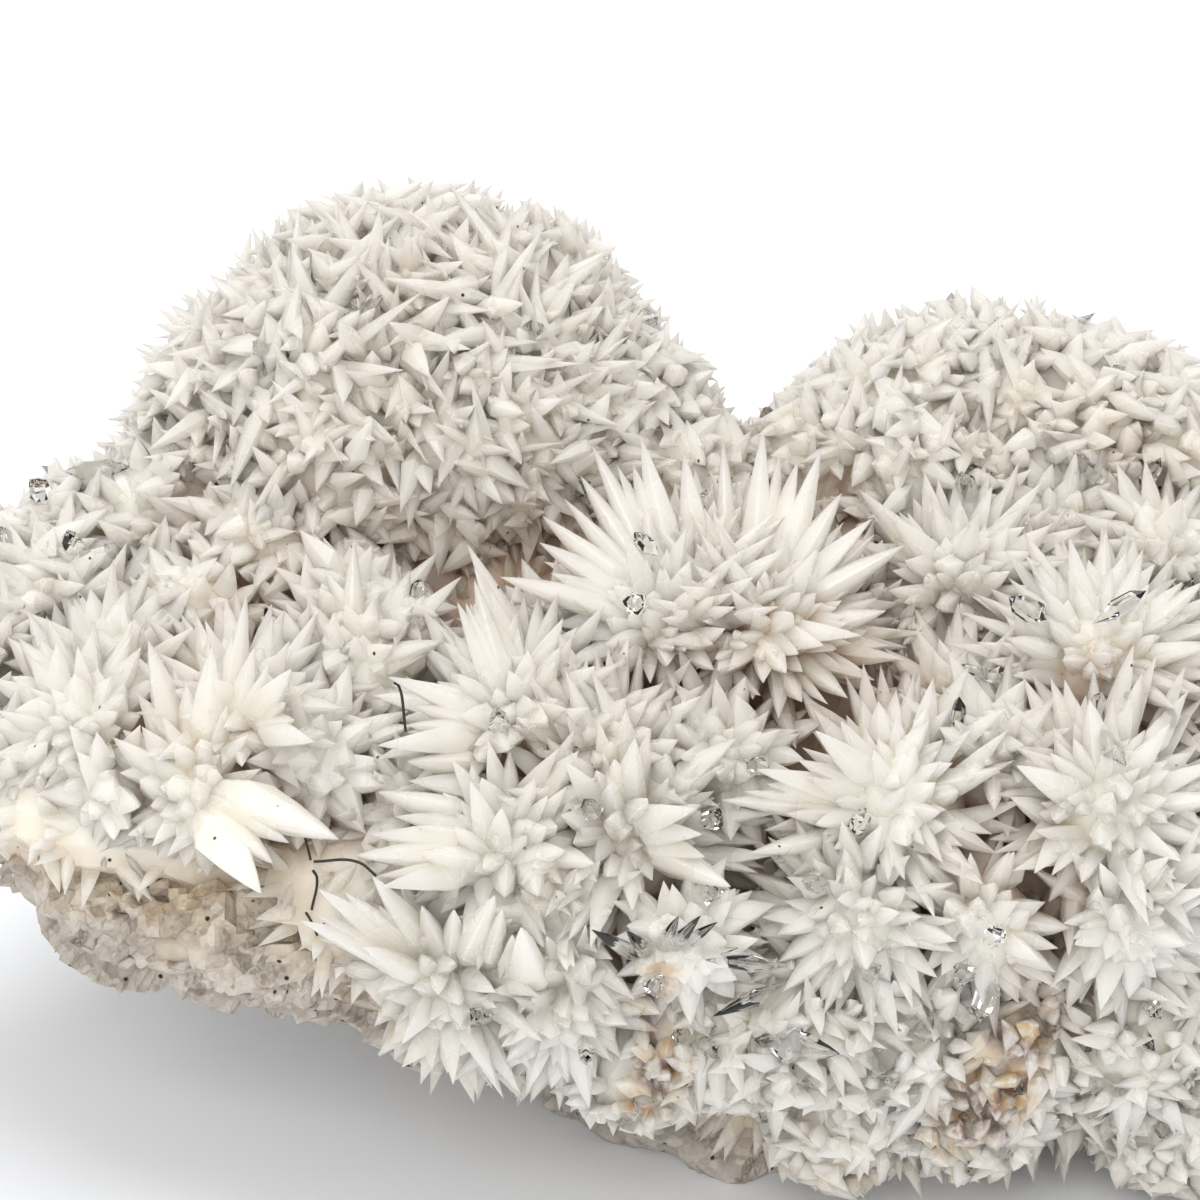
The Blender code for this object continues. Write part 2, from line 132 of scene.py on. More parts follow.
# Crystals that stand out of the sprays, by the group they belong to:
# root x, y, z, tip x, y, z and full width.
BIG_CRYSTALS = {
    "left_front": (
        (-75, -34, 62, -55, -48, 58, 8.5), (-75, -36, 57, -64, -50, 52, 9.5),
        (-71, -30, 59, -71, -26, 72, 7.0), (-68, -30, 59, -67, -22, 77, 6.0),
        (-67, -30, 61, -61, -34, 73, 6.0), (-66, -30, 64, -58, -41, 67, 6.0),
        (-77, -28, 59, -79, -22, 71, 6.5), (-91, -18, 59, -95, -10, 69, 6.0),
    ),
    "left_shoulder": (
        (-56, -14, 64, -55, -8, 78, 5.0), (-57, -14, 65, -44, -18, 69, 5.5),
        (-54, -12, 66, -66, -10, 70, 5.0), (-53, -10, 63, -42, -6, 72, 5.0),
    ),
    "centre_front": (
        (-37, -28, 64, -42, -22, 76, 5.0), (-36, -27, 65, -40, -20, 78, 5.0),
        (-30, -16, 70, -41, -14, 80, 5.0), (-36, -30, 64, -50, -30, 70, 5.5),
        (-38, -32, 62, -51, -38, 65, 6.0), (-38, -34, 58, -51, -40, 60, 6.0),
        (-38, -40, 51, -53, -50, 57, 6.0), (-38, -42, 49, -50, -52, 54, 6.0),
        (-38, -40, 48, -40, -43, 63, 5.5), (-37, -40, 49, -29, -47, 56, 6.0),
        (-46, -44, 35, -59, -58, 53, 5.5), (-45, -44, 36, -57, -56, 56, 5.5),
        (-44, -44, 36, -51, -53, 56, 6.0), (-41, -46, 37, -37, -54, 54, 6.5),
        (-36, -46, 32, -34, -56, 51, 7.5), (-46, -46, 34, -52, -57, 49, 5.0),
        (-20, -40, 52, -10, -52, 54, 6.5), (-23, -38, 55, -14, -48, 62, 6.0),
        (-24, -36, 54, -29, -42, 65, 6.0), (-21, -36, 56, -21, -42, 68, 6.0),
    ),
    "middle_flower": (
        (-8, -14, 70, -3, -29, 70, 5.5), (-6, -14, 70, 6, -25, 73, 5.0),
        (-20, -12, 70, -37, -17, 77, 6.0), (-18, -10, 72, -32, -8, 81, 6.0),
        (-16, -8, 74, -26, 0, 87, 5.5), (-12, -8, 74, -20, 0, 88, 6.0),
        (-8, -8, 74, -5, 0, 89, 6.0), (-4, -8, 73, 2, -2, 87, 6.0), (-4, -10, 71, 12, -10, 78, 6.0),
    ),
    "right_front": (
        (8, -32, 54, -7, -42, 64, 5.5), (8, -33, 53, -11, -44, 61, 5.5),
        (10, -32, 56, 0, -38, 67, 6.0), (6, -36, 50, -8, -46, 55, 5.0),
        (34, -34, 56, 23, -43, 65, 6.0), (35, -32, 58, 32, -36, 70, 6.5),
    ),
    "right_middle": (
        (18, 2, 70, 7, 0, 81, 5.5), (36, -12, 64, 32, -10, 79, 6.0), (38, -12, 64, 48, -14, 75, 6.0),
    ),
    "back_left_dome": (
        (-67, 24, 83, -81, 26, 89, 5.5), (-50, 24, 92, -57, 6, 101, 6.0),
        (-42, 16, 82, -37, 0, 79, 5.0),
    ),
    "back_right_dome": (
        (14, 26, 80, 5, 24, 92, 6.0),
    ),
}

# How the part places the largest crystals of a spray, repeated here so that they meet.
TIP_SPACING = 11.0
TIP_SPREAD = (0.92, 1.06)
DIRECTION_SPREAD = 0.09
LEAST_TIPS = 12
SWALLOWED_SHARE = 0.90
LEAST_COVER = 1.0

# Lumps of the matrix: centre x, y, z and half sizes x, y, z.
MATRIX_LUMPS = (
    (0, 0, 9, 42, 29, 12.5),
    (14, -16, 17, 30, 20, 14),
    (42, -6, 22, 27, 26, 18),
    (0, 4, 34, 62, 34, 24),
    (-66, -13, 36, 30, 29, 13),
    (-88, -7, 47, 22, 25, 11),
    (-42, -18, 34, 24, 22, 15),
    (-45, 28, 54, 26, 18, 22),
    (30, 16, 44, 40, 26, 26),
    (-10, 24, 34, 66, 22, 24),
)
MATRIX_BLEND = 5.0
MATRIX_MIDDLE = (-20, 4, 40)
MATRIX_REACH = 140.0
SURFACE_ACCURACY = 0.05

# Where the calcite ends, as x and height: for the part's tips, and for the small crystals, with the
# height over which the rock turns bare and how far the crust sinks below the rock there, as a share
# of its thickness.
CRUST_EDGE = (
    (-120, 52), (-103, 51), (-91, 47), (-80, 45), (-65, 40), (-57, 31), (-46, 24), (-30, 16),
    (0, 9), (30, 8), (50, 4), (90, 4),
)
BARE_EDGE = (
    (-120, 53), (-98, 49), (-85, 46), (-75, 45), (-65, 47), (-60, 43), (-52, 35), (-46, 27),
    (-30, 16), (0, 9), (30, 8), (50, 4), (90, 4),
)
BARE_EDGE_BLEND = 4.0
CRUST_FADE = 2.4

# How the crystals of a spray grew: the spacing of the fine ones' tips, how far they lean from the
# radii, the radius of the solid ball in the middle as a share of the spray's reach, where crystals
# start as shares of that radius, the least reach of a fine one as a share of the spray's, and how
# far those in the middle of its free side fall short of the others.
Style = namedtuple("Style", "spacing lean core roots least sunken")
RADIAL = (0.30, 0.80)
LYING = (0.84, 1.06)
STYLES = {
    "left_end": Style(3.3, 0.35, 0.56, (0.45, 0.95), 0.78, 0.10),
    "left_front": Style(3.8, 0.25, 0.54, RADIAL, 0.74, 0.20),
    "left_shoulder": Style(3.3, 0.35, 0.66, (0.55, 0.95), 0.78, 0.12),
    "back_left_dome": Style(3.0, 0.38, 0.78, LYING, 0.85, 0.0),
    "middle_flower": Style(3.2, 0.14, 0.46, RADIAL, 0.74, 0.24),
    "centre_front": Style(3.5, 0.18, 0.52, RADIAL, 0.74, 0.22),
    "right_middle": Style(3.2, 0.18, 0.50, RADIAL, 0.74, 0.22),
    "back_right_dome": Style(3.0, 0.35, 0.76, LYING, 0.84, 0.0),
    "right_front": Style(3.2, 0.22, 0.54, RADIAL, 0.74, 0.20),
    "right_end": Style(3.6, 0.25, 0.56, RADIAL, 0.74, 0.18),
    "back_upper": Style(3.7, 0.35, 0.66, (0.55, 0.95), 0.78, 0.1),
    "back_lower": Style(4.0, 0.30, 0.60, RADIAL, 0.74, 0.1),
}
DRUSY_STYLE = Style(2.6, 0.35, 0.78, LYING, 0.85, 0.0)
DRUSY_PLACE = (-25.0, 32.0)     # right of and below this x and z, the crystals are small
FINE_WIDTH = (0.85, 1.25)       # as a share of the spacing
FINE_REACH = 1.03               # the longest, as a share of the spray's reach
FREE_WAYS = 80                  # directions tried when a spray's free side is looked for
SUNKEN = (25.0, 60.0)           # angles from the middle of the free side between which crystals lengthen
SUNKEN_SPREAD = (0.5, 1.5)
CORE_DETAIL = 2
MAIN_WIDTH = (3.2, 4.8)         # of the crystals that reach the part's tips
BIG_WIDTH_SHARE = 0.76          # of the width that the part gives the large crystals
BIG_ROOT = 0.45                 # their roots' distance from the nucleus, as a share of the part's
BIG_GIRDLE = (0.36, 0.44)       # where they are widest, as a share of their length
FAN_GAP = 17.0                  # between the tips of large crystals that have others between them
FAN_PLACES = (0.33, 0.67)
FAN_LENGTH = (0.74, 0.96)       # of those in between, as a share of their neighbours' length
FAN_WIDTH = (3.6, 4.8)
EDGE_OVERHANG = 7.0             # of crystals below the edge of the calcite
GROWN_INTO = 0.78               # a fine tip nearer than this share of another spray's reach is hidden
VALLEY_REACH = 0.22             # growth of the fine crystals between two sprays
VALLEY_SIDES = (0.85, 1.25)     # shares of the other spray's reach between which that growth ends

# The druse: a crust of short crystals over the matrix, between the sprays.
DRUSE_THICKNESS = 2.6
DRUSE_FACING = 0.35             # least share of a step outwards that thickens the crust
DRUSE_LUMP_SIZE = 12.0
DRUSE_LUMP_HEIGHT = 1.8
DRUSE_DETAIL = 6                # times that the crust's triangles are divided
DRUSE_SPACING = 2.3
DRUSE_PLACES = 4                # random places on each of its triangles, of which some get a crystal
DRUSE_LENGTH = (7.0, 11.0)
DRUSE_WIDTH = (2.0, 3.3)
DRUSE_LEAN = 0.5
DRUSE_DEPTH = 4.0               # of its crystals' roots under the crust
DRUSE_LEAST = -0.5              # thickness of the crust where its crystals end
DRUSE_BARE = 0.95               # as bare as this, the rock has no crystals
DRUSE_HIDDEN = 0.74             # nearer than this share of a spray's reach, it is covered
DRUSE_FLOOR = 1.0               # height that no crystal reaches below

# A crystal: rings above its girdle, each a share of the way to the tip and of the full width.
SIDES = 6
MAIN_RINGS = ((0.0, 1.0), (0.40, 0.70), (0.76, 0.33), (0.94, 0.10))
FINE_RINGS = ((0.0, 1.0), (0.50, 0.61))
GIRDLE = (0.30, 0.42)
GIRDLE_ZIGZAG = 0.05
NARROW_EDGES = (0.76, 0.9)
BEVEL = 0.13

# Clear crystals: how many on each spray of a group, and on the sprays with small crystals.
CLEAR_COUNTS = {
    "left_end": 10, "left_shoulder": 12, "back_left_dome": 26, "middle_flower": 6, "centre_front": 6,
    "right_middle": 9, "back_right_dome": 20, "right_front": 12, "right_end": 10, "back_upper": 8,
}
CLEAR_DRUSY = 70
CLEAR_STRAY = 0.3
CLEAR_LEAN = 0.25
CLEAR_ROOT = 0.68               # where they start, as a share of the spray's reach
CLEAR_REACH = (0.86, 1.03)
CLEAR_WIDTH = (2.0, 3.4)
CLEAR_RINGS = ((0.0, 1.0), (0.62, 0.86))

# Clear blades: root x, y, z, tip x, y, z and full width. The last is a block lying on its side.
CLEAR_BLADES = (
    (-18.5, -47, 41, -11.5, -53, 50, 2.6), (-18.5, -47, 41, -13.5, -55, 52, 2.4),
    (-18.5, -47, 41, -16.0, -55, 52, 2.6), (-18.5, -47, 41, -22.0, -55, 50, 2.4),
    (-18.5, -47, 41, -26.0, -53, 49, 2.6), (-18.5, -47, 41, -9.0, -52, 46, 2.4),
    (-3.0, -46, 40, -13.0, -53, 45, 2.6), (-3.0, -46, 38, -12.0, -54, 38, 2.6),
    (-7.0, -51, 33, 3.0, -52.5, 32, 5.0),
)

# Dark fibres: the points near which each runs, over the crystals.
FIBRES = (
    ((-58, -40, 58), (-57.6, -40, 56), (-57.8, -41, 54)),
    ((-56, -42, 52), (-54, -42, 51.6), (-51.5, -42, 51)),
    ((-57.6, -42, 50), (-58.4, -42, 48), (-58.8, -43, 46.5)),
    ((-59.5, -43, 46), (-59, -43, 44.5), (-58.2, -44, 43)),
    ((-50, -30, 68), (-50.4, -30, 66.5), (-50.2, -31, 65)),
)
FIBRE_RADIUS = 0.17

# The bare rock: its grid, and lumps and angular grains of given size and height.
MATRIX_CELL = 1.15
MATRIX_LUMP_SIZE = 9.0
MATRIX_LUMP_HEIGHT = 1.6
MATRIX_GRAINS = ((5.5, 1.7), (2.6, 1.1))
GRAIN_SCATTER = 7.0             # spreads the grains' centres over the cells of a random pattern
MATRIX_FLAT = (0.4, 3.0)        # height where the roughness starts, and over which it grows

# Looks. Colours are linear, and the stops of a ramp go from 0 to 1.
# Painted shade: the calcite's colour by how open its surroundings are, brown in the hollows where shade
# falls and cream to white in the open.
CALCITE_COLOURS_AND_PAINTED_SHADE = ((0.12, (0.72, 0.53, 0.39)), (0.42, (0.94, 0.82, 0.675)), (0.68, (0.97, 0.87, 0.745)))
# Painted light: crystals are paler towards their roots, to lighten the shade between them.
PAINTED_LIGHT_ROOT_COLOUR = (1.0, 0.93, 0.83)
SOIL_COLOUR = (0.66, 0.54, 0.39)
PAINTED_LIGHT_ROOTS = (0.60, 0.95)       # shares of a spray's reach between which the painted light at the roots fades
CALCITE_VEIL = (0.70, 0.62, 0.53)
SPECK_COLOUR = (0.02, 0.014, 0.01)
STAIN_COLOURS = ((0.35, (0.42, 0.22, 0.10)), (0.50, (0.66, 0.45, 0.24)), (0.62, (0.28, 0.18, 0.15)))
CALCITE_IOR = 1.55
CALCITE_CONSTANTS = {
    "Subsurface Weight": 0.8,
    "Subsurface Radius": (1.0, 0.93, 0.86),
    "Subsurface Scale": 8.0 * MM,
    "Transmission Weight": 0.12,
    "Specular IOR Level": 0.3,
}
CLEAR_COLOUR = (0.97, 0.96, 0.94)

# The calcite's patterns: sizes in mm, the stops of a noise between which it changes something, and
# what it changes it to.
# The cloud shifts the openness that sets the painted shade.
CLOUD_SIZE = 26.0
CLOUD_STOPS = (0.3, 0.7)
CLOUD_DEPTH = 0.10
# Openness over which the painted light at the roots comes in, so the hollows keep their painted shade.
PAINTED_LIGHT_OPENNESS = (0.20, 0.45)
VEIL_SIZE = 2.4
VEIL_SHARES = (0.94, 1.0)
SOFT_STOPS = (0.35, 0.65)
SOIL_SHARES = (0.2, 0.9)
STAIN_STOPS = (0.38, 0.56)
RUST_SIZE = 5.0
SPECK_SPACING = 5.5
SPECK_EDGE = (0.030, 0.055)
CALCITE_ROUGHNESS = (0.22, 0.42)
CALCITE_BUMP = (1.1, 0.06)      # size and depth

# The rock's colours and patterns, given in the same way.
MATRIX_TAN = ((0.30, (0.29, 0.20, 0.12)), (0.50, (0.47, 0.37, 0.25)), (0.70, (0.62, 0.53, 0.40)))
MATRIX_GREY = ((0.30, (0.25, 0.21, 0.17)), (0.50, (0.40, 0.35, 0.30)), (0.70, (0.53, 0.48, 0.42)))
MATRIX_GRAIN = (0.68, 0.64, 0.57)
MATRIX_PORES = (0.16, 0.10, 0.06)
MATRIX_GRAIN_SIZE = 1.5
MATRIX_MOTTLE_SIZE = 5.0
TAN_STRAY = 8.0                 # how far the mottle moves the lower side of the tan strip
TAN_HEIGHTS = (-4.0, 2.0)
GRAIN_SHARE = 0.42
PORE_SIZE = 2.0
PORE_STOPS = (0.60, 0.68)
PORE_SHARE = 0.55
MATRIX_SPECK_SPACING = 3.2
MATRIX_SPECK_EDGE = (0.07, 0.12)
GLINT_STOPS = (0.75, 0.85)
GLINT_ROUGHNESS = (0.88, 0.35)
MATRIX_FINE_NOISE = (0.8, 3.0)  # size and detail
MATRIX_BUMP = 0.35
FIBRE_ROUGHNESS = 0.6

# Stained places: x, y, z, radius. A streak in the middle, the porous ledge at the right, two spots.
STAINS = (
    (-18.5, -52, 41, 4), (-18.5, -51, 37, 4), (-18, -50, 33, 4), (-18, -49, 28, 5), (-19, -49, 23, 5),
    (25, -48, 31, 7), (22, -48, 24, 8), (18, -48, 18, 7), (-98, -14, 60, 3), (-66, 12, 74, 3),
)
STAIN_STRENGTH = 1.6            # in the middle of a stain, where 1 is as strong as it shows
SOIL_HEIGHT = 5.0               # over the edge of the calcite, up to which it is soiled

# The grid on which the free space around the crystals is measured; it sets where shade is painted into the
# calcite's colour.
SPACE_CELL = 3.0
SPACE_MARGIN = 36.0
SPACE_BLUR = 3                  # cells to each side, twice
SPACE_FILLED = 0.86             # share of a spray's reach that counts as filled

CAMERA_TARGET = (-25, 0, 66)
CAMERA_ELEVATION = 25.0
CAMERA_DISTANCE = 500
CAMERA_LENS = 120.0
SENSOR_WIDTH = 36.0

# The studio, in metres and watts: each light's name, place, size and power.
LIGHTS = (
    ("overhead", (-0.15, 0.1, 1.2), 0.8, 7.2),
    ("front", (-0.25, -1.3, 0.9), 1.0, 12.2),
)
WORLD_COLOUR = (1.0, 1.0, 1.0, 1.0)
WORLD_STRENGTH = 0.64
FLOOR_SIZE = 6.0
FLOOR_COLOUR = (0.95, 0.97, 1.0)
FLOOR_ROUGHNESS = 0.8
LIGHT_PATHS = {
    "max_bounces": 8,
    "diffuse_bounces": 2,
    "glossy_bounces": 2,
    "transmission_bounces": 8,
}

NUCLEI = np.array([spray[:3] for group in SPRAYS.values() for spray in group], float)
REACHES = np.array([spray[3] for group in SPRAYS.values() for spray in group], float)


def even_directions(count, turn):
    """Directions spread evenly over a sphere, turned about Z by the given angle."""
    golden = math.pi * (3.0 - math.sqrt(5.0))
    for i in range(count):
        z = 1.0 - 2.0 * (i + 0.5) / count
        ring = math.sqrt(1.0 - z * z)
        angle = turn + golden * i
        yield Vector((ring * math.cos(angle), ring * math.sin(angle), z))


def strayed(direction, spread, rng):
    return (direction + Vector([rng.gauss(0.0, spread) for _ in range(3)])).normalized()


def lump_depth(point):
    """Signed distance in mm from the blended lumps of the matrix, negative inside."""
    total = 0.0
    for x, y, z, a, b, c in MATRIX_LUMPS:
        p = Vector(((point.x - x) / a, (point.y - y) / b, (point.z - z) / c))
        q = Vector((p.x / a, p.y / b, p.z / c))
        distance = p.length * (p.length - 1.0) / max(q.length, TINY)
        total += math.exp(-distance / MATRIX_BLEND)
    return -MATRIX_BLEND * math.log(max(total, TINY))


def lump_depths(points):
    """The same for an array of points."""
    total = np.zeros(len(points))
    for x, y, z, a, b, c in MATRIX_LUMPS:
        size = np.array((a, b, c), float)
        p = (points - (x, y, z)) / size
        length = np.linalg.norm(p, axis=1)
        distance = length * (length - 1.0) / np.maximum(np.linalg.norm(p / size, axis=1), TINY)
        total += np.exp(-distance / MATRIX_BLEND)
    return -MATRIX_BLEND * np.log(np.maximum(total, TINY))


def surfaces_along(directions):
    """How far the lumps' surface lies from the middle of the matrix in each direction."""
    near = np.zeros(len(directions))
    far = np.full(len(directions), MATRIX_REACH)
    while (far - near).max() > SURFACE_ACCURACY:
        half = (near + far) / 2
        inside = lump_depths(MATRIX_MIDDLE + directions * half[:, None]) < 0.0
        near = np.where(inside, half, near)
        far = np.where(inside, far, half)
    return near


def nearest_spray(points):
    """For each point its distance from the nearest nucleus, as a share of that spray's reach."""
    share = np.full(len(points), np.inf)
    for nucleus, reach in zip(NUCLEI, REACHES):
        share = np.minimum(share, np.linalg.norm(points - nucleus, axis=1) / reach)
    return share


def share_of_another(point, number):
    """Distance of a point from the nearest other nucleus, as a share of that spray's reach."""
    distance = np.linalg.norm(NUCLEI - np.array(point), axis=1) / REACHES
    distance[number] = np.inf
    return distance.min()


def main_tips(number, rng):
    """The tips, from the spray's nucleus, that the part's solid has too."""
    nucleus = Vector(NUCLEI[number])
    reach = REACHES[number]
    count = max(LEAST_TIPS, round(4.0 * math.pi * reach ** 2 / TIP_SPACING ** 2))
    tips = []
    for direction in even_directions(count, rng.uniform(0.0, math.tau)):
        tip = strayed(direction, DIRECTION_SPREAD, rng) * reach * rng.uniform(*TIP_SPREAD)
        point = nucleus + tip
        if share_of_another(point, number) < SWALLOWED_SHARE or point.z < crust_edge(point.x):
            continue
        if lump_depth(point) >= LEAST_COVER:
            tips.append(tip)
    return tips


def free_side(number):
    """The direction in which a spray is free of the matrix and of the others."""
    nucleus = Vector(NUCLEI[number])
    total = Vector((0.0, 0.0, 0.0))
    for way in even_directions(FREE_WAYS, 0.0):
        point = nucleus + way * REACHES[number]
        if share_of_another(point, number) > 1.0 and lump_depth(point) > LEAST_COVER:
            total += way
    return total.normalized()


def crust_edge(x):
    """Height in mm at which the calcite ends and the bare matrix begins, along the specimen."""
    xs, zs = zip(*CRUST_EDGE)
    return np.interp(x, xs, zs)


def bare_edge(x):
    """Height in mm at which the small crystals end and the matrix shows."""
    xs, zs = zip(*BARE_EDGE)
    return np.interp(x, xs, zs)


def exposed(points):
    """1 where the matrix is bare, on its underside and rim, and 0 where calcite covers it."""
    above = points[:, 2] - bare_edge(points[:, 0])
    return np.clip(0.5 - above / BARE_EDGE_BLEND, 0.0, 1.0)


def noise_at(points, size):
    return np.array([noise.noise(Vector(point)) for point in points / size])


def crystal(root, tip, width, rng, rings=MAIN_RINGS, bevel=BEVEL, girdles=GIRDLE):
    """Vertices in mm and faces of a six-sided scalenohedron with slightly bulging sides."""
    axis = (tip - root).normalized()
    length = (tip - root).length
    side = axis.orthogonal().normalized()
    other = axis.cross(side)
    start = rng.uniform(0.0, math.tau)
    narrow = rng.uniform(*NARROW_EDGES)
    girdle = rng.uniform(*girdles)
    verts = [root]
    for share, scale in rings:
        corners = []
        for k in range(SIDES):
            angle = start + k * math.tau / SIDES
            zigzag = GIRDLE_ZIGZAG * (1.0 - share) * (1 if k % 2 else -1)
            along = length * (girdle + (1.0 - girdle) * share + zigzag)
            radius = width / 2 * scale * (1.0 if k % 2 else narrow)
            around = side * math.cos(angle) + other * math.sin(angle)
            corners.append(root + axis * along + around * radius)
        if not bevel:
            verts += corners
            continue
        for k in range(SIDES):
            one, two = corners[k], corners[(k + 1) % SIDES]
            verts.append(one.lerp(two, bevel))
            verts.append(one.lerp(two, 1.0 - bevel))
    verts.append(tip)
    around = 2 * SIDES if bevel else SIDES
    faces = []
    for k in range(around):
        n = (k + 1) % around
        faces.append((0, 1 + n, 1 + k))
        for ring in range(len(rings) - 1):
            low = 1 + around * ring
            faces.append((low + k, low + n, low + around + n, low + around + k))
        high = 1 + around * (len(rings) - 1)
        faces.append((high + k, high + n, len(verts) - 1))
    return verts, faces


def ball(middle, radius, detail):
    bm = bmesh.new()
    bmesh.ops.create_icosphere(bm, subdivisions=detail, radius=radius)
    verts = [middle + vert.co for vert in bm.verts]
    faces = [tuple(vert.index for vert in face.verts) for face in bm.faces]
    bm.free()
    return verts, faces


def mesh_object(name, verts, faces, collection):
    mesh = bpy.data.meshes.new(name)
    mesh.from_pydata([tuple(vert * MM) for vert in verts], [], faces)
    obj = bpy.data.objects.new(name, mesh)
    collection.objects.link(obj)
    return obj


def grown_together(name, shapes):
    """One closed mesh object from overlapping closed shapes, each its vertices in mm and faces."""
    scene = bpy.context.scene.collection
    others = bpy.data.collections.new(name + "_shapes")
    scene.children.link(others)
    base = mesh_object(name + "_base", *shapes[0], scene)
    for number, (verts, faces) in enumerate(shapes[1:]):
        mesh_object(f"{name}_shape_{number}", verts, faces, others)
    union = base.modifiers.new("union", 'BOOLEAN')
    union.operation = 'UNION'
    union.operand_type = 'COLLECTION'
    union.collection = others
    union.solver = 'MANIFOLD'
    graph = bpy.context.evaluated_depsgraph_get()
    mesh = bpy.data.meshes.new_from_object(base.evaluated_get(graph))
    mesh.name = name
    for obj in [base] + list(others.objects):
        bpy.data.meshes.remove(obj.data)
    bpy.data.collections.remove(others)
    result = bpy.data.objects.new(name, mesh)
    scene.objects.link(result)
    return result


def coordinates(mesh):
    """The mesh's vertices in mm."""
    places = np.empty(len(mesh.vertices) * 3)
    mesh.vertices.foreach_get("co", places)
    return places.reshape(-1, 3) / MM


def store(mesh, name, values):
    attribute = mesh.attributes.new(name, 'FLOAT', 'POINT')
    attribute.data.foreach_set("value", values.astype(np.float32))


def fine_crystals(number, style, rng):
    """The small crystals all over a spray, where nothing else covers them."""
    nucleus = Vector(NUCLEI[number])
    reach = REACHES[number]
    outward = free_side(number)
    sunken = style.sunken * rng.uniform(*SUNKEN_SPREAD)
    shapes = []
    count = round(4.0 * math.pi * reach ** 2 / style.spacing ** 2)
    for direction in even_directions(count, rng.uniform(0.0, math.tau)):
        root = strayed(direction, style.lean, rng) * reach * style.core * rng.uniform(*style.roots)
        way = strayed(direction, DIRECTION_SPREAD, rng)
        beside = share_of_another(nucleus + way * reach, number)
        valley = np.interp(beside, VALLEY_SIDES, (1.0, 0.0))
        rim = np.interp(math.degrees(way.angle(outward)), SUNKEN, (0.0, 1.0))
        share = rng.uniform(style.least, FINE_REACH) * (1.0 + VALLEY_REACH * valley)
        share *= 1.0 - sunken * (1.0 - rim)
        point = nucleus + way * reach * share
        if point.z < bare_edge(point.x) - EDGE_OVERHANG or lump_depth(point) < LEAST_COVER:
            continue
        if share_of_another(point, number) > GROWN_INTO:
            width = style.spacing * rng.uniform(*FINE_WIDTH)
            shapes.append(crystal(nucleus + root, point, width, rng, FINE_RINGS, 0.0))
    return shapes


def spray_shapes(number, style):
    """The core and every crystal of one spray."""
    nucleus = Vector(NUCLEI[number])
    if nucleus.x > DRUSY_PLACE[0] and nucleus.z < DRUSY_PLACE[1]:
        style = DRUSY_STYLE
    reach = REACHES[number]
    rng = random.Random(FINE_SEED + number)
    verts, faces = ball(nucleus, reach * style.core, CORE_DETAIL)
    for vert in verts:
        vert.z = max(vert.z, bare_edge(vert.x))
    shapes = [(verts, faces)]
    for tip in main_tips(number, random.Random(SEED + number)):
        way = strayed(tip.normalized(), style.lean / 2, rng)
        root = way * reach * style.core * style.roots[0]
        shapes.append(crystal(nucleus + root, nucleus + tip, rng.uniform(*MAIN_WIDTH), rng))
    return shapes + fine_crystals(number, style, rng)


def rooted(root):
    """A large crystal's root, moved in towards the nucleus of its spray."""
    nearest = np.argmin(np.linalg.norm(NUCLEI - np.array(root), axis=1) / REACHES)
    return Vector(NUCLEI[nearest]).lerp(root, BIG_ROOT)


def big_crystals(rows, rng):
    """Crystals that stand out, widest where they leave the spray, and smaller ones in their fans."""
    shapes = []
    ends = [(rooted(Vector(row[:3])), Vector(row[3:6])) for row in rows]
    for (root, tip), row in zip(ends, rows):
        shapes.append(crystal(root, tip, row[6] * BIG_WIDTH_SHARE, rng, girdles=BIG_GIRDLE))
    for (root, tip), (next_root, next_tip) in zip(ends, ends[1:]):
        if (tip - next_tip).length > FAN_GAP:
            continue
        for share in FAN_PLACES:
            start = root.lerp(next_root, share)
            end = start.lerp(tip.lerp(next_tip, share), rng.uniform(*FAN_LENGTH))
            shapes.append(crystal(start, end, rng.uniform(*FAN_WIDTH), rng, girdles=BIG_GIRDLE))
    return shapes


def add_spray_group(group, first):
    """One piece with all the sprays and big crystals of a group."""
    shapes = []
    for number in range(first, first + len(SPRAYS[group])):
        shapes += spray_shapes(number, STYLES[group])
    shapes += big_crystals(BIG_CRYSTALS.get(group, ()), random.Random(BIG_SEED + first))
    return grown_together("crystals_" + group, shapes)


def druse_body():
    """Vertices, normals and faces of the crust under the druse, lumpy and a little thicker than real."""
    bm = bmesh.new()
    bmesh.ops.create_icosphere(bm, subdivisions=DRUSE_DETAIL, radius=1.0)
    ways = np.array([vert.co.normalized() for vert in bm.verts])
    faces = [tuple(vert.index for vert in face.verts) for face in bm.faces]
    points = MATRIX_MIDDLE + ways * surfaces_along(ways)[:, None]
    for vert, point in zip(bm.verts, points):
        vert.co = point
    bm.normal_update()
    facing = np.array([vert.normal.dot(vert.co - Vector(MATRIX_MIDDLE)) for vert in bm.verts])
    facing = np.maximum(facing / np.linalg.norm(points - MATRIX_MIDDLE, axis=1), DRUSE_FACING)
    lumps = noise_at(points, DRUSE_LUMP_SIZE) * DRUSE_LUMP_HEIGHT
    bare = exposed(points)
    thickness = DRUSE_THICKNESS * (1.0 - CRUST_FADE * bare) + lumps * (1.0 - bare)
    points += ways * (thickness / facing)[:, None]
    points[:, 2] = np.maximum(points[:, 2], DRUSE_FLOOR)
    for vert, point in zip(bm.verts, points):
        vert.co = point
    bm.normal_update()
    normals = [vert.normal.copy() for vert in bm.verts]
    bm.free()
    return [Vector(point) for point in points], normals, faces


def spaced(points, spacing, rng):
    """Numbers of some of the points, in a random order, with no two nearer than the spacing."""
    cells = {}
    chosen = []
    order = list(range(len(points)))
    rng.shuffle(order)
    for i in order:
        point = points[i]
        cell = tuple(int(c // spacing) for c in point)
        near = False
        for dx in (-1, 0, 1):
            for dy in (-1, 0, 1):
                for dz in (-1, 0, 1):
                    for other in cells.get((cell[0] + dx, cell[1] + dy, cell[2] + dz), ()):
                        if (other - point).length < spacing:
                            near = True
        if not near:
            cells.setdefault(cell, []).append(point)
            chosen.append(i)
    return chosen


